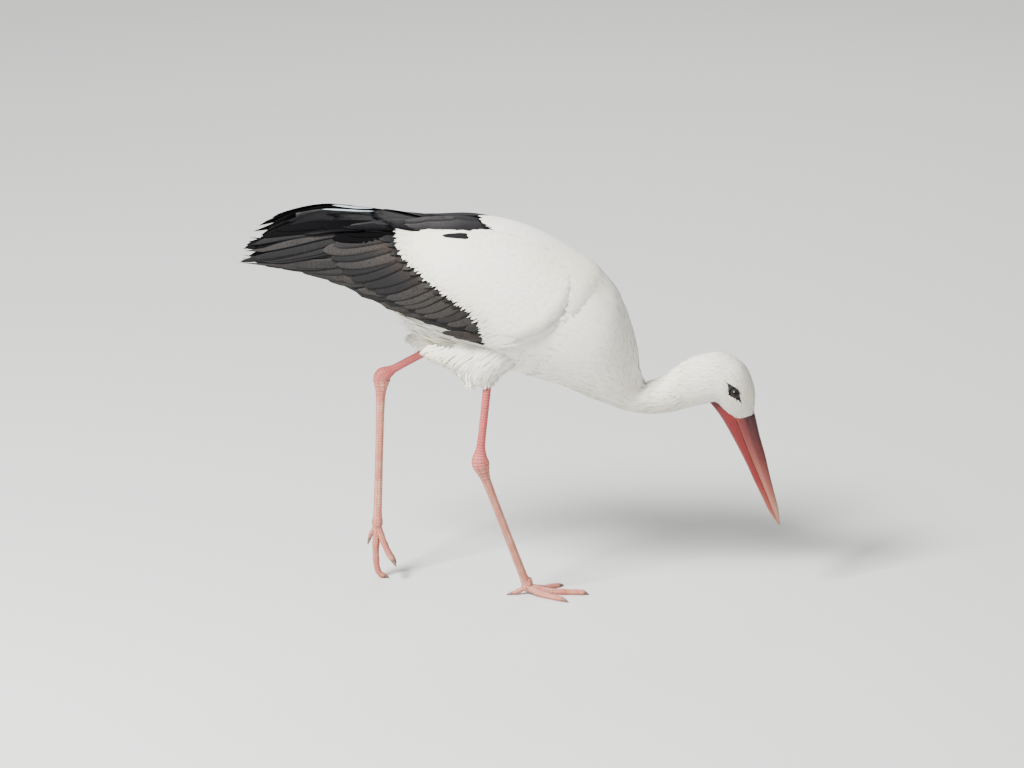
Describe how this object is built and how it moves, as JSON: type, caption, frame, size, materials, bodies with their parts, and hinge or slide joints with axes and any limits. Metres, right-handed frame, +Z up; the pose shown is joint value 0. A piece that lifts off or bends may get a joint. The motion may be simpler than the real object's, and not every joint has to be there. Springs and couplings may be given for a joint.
{
  "type": "white stork",
  "caption": "Still life-size white stork, feeding as it walks: head lowered, one foot flat and one trailing on tiptoe, wings folded.",
  "frame": {"origin": "floor point under the middle of the bird's box: middle of its length from wing tips to bill, middle of its width, at the soles", "axes": "+X towards the bill, +Y the bird's left, +Z up from the floor it stands on"},
  "size_m": [0.7992, 0.1964, 0.5845],
  "materials": {
    "plumage_white": "soft matt feathers",
    "plumage_black": "smooth feathers with a faint sheen",
    "bill": "satin horn",
    "leg_skin": "matt scaled skin",
    "claws": "satin horn",
    "eye": "wet gloss"
  },
  "bodies": {
    "root": {"trunk": "plumage_white", "neck_lower": "plumage_white", "neck_upper": "plumage_white", "head": "plumage_white", "thigh_right": "plumage_white", "thigh_left": "plumage_white", "tail": "plumage_white", "wing_right": "plumage_black", "wing_left": "plumage_black", "bill_upper": "bill", "bill_lower": "bill", "eye_left": "eye", "eye_right": "eye", "shank_right": "leg_skin", "shank_left": "leg_skin", "tarsus_right": "leg_skin", "tarsus_left": "leg_skin", "foot_right": "leg_skin", "foot_left": "leg_skin", "claw_middle_right": "claws", "claw_inner_right": "claws", "claw_outer_right": "claws", "claw_hind_right": "claws", "claw_middle_left": "claws", "claw_inner_left": "claws", "claw_outer_left": "claws", "claw_hind_left": "claws"}
  },
  "joints": []
}
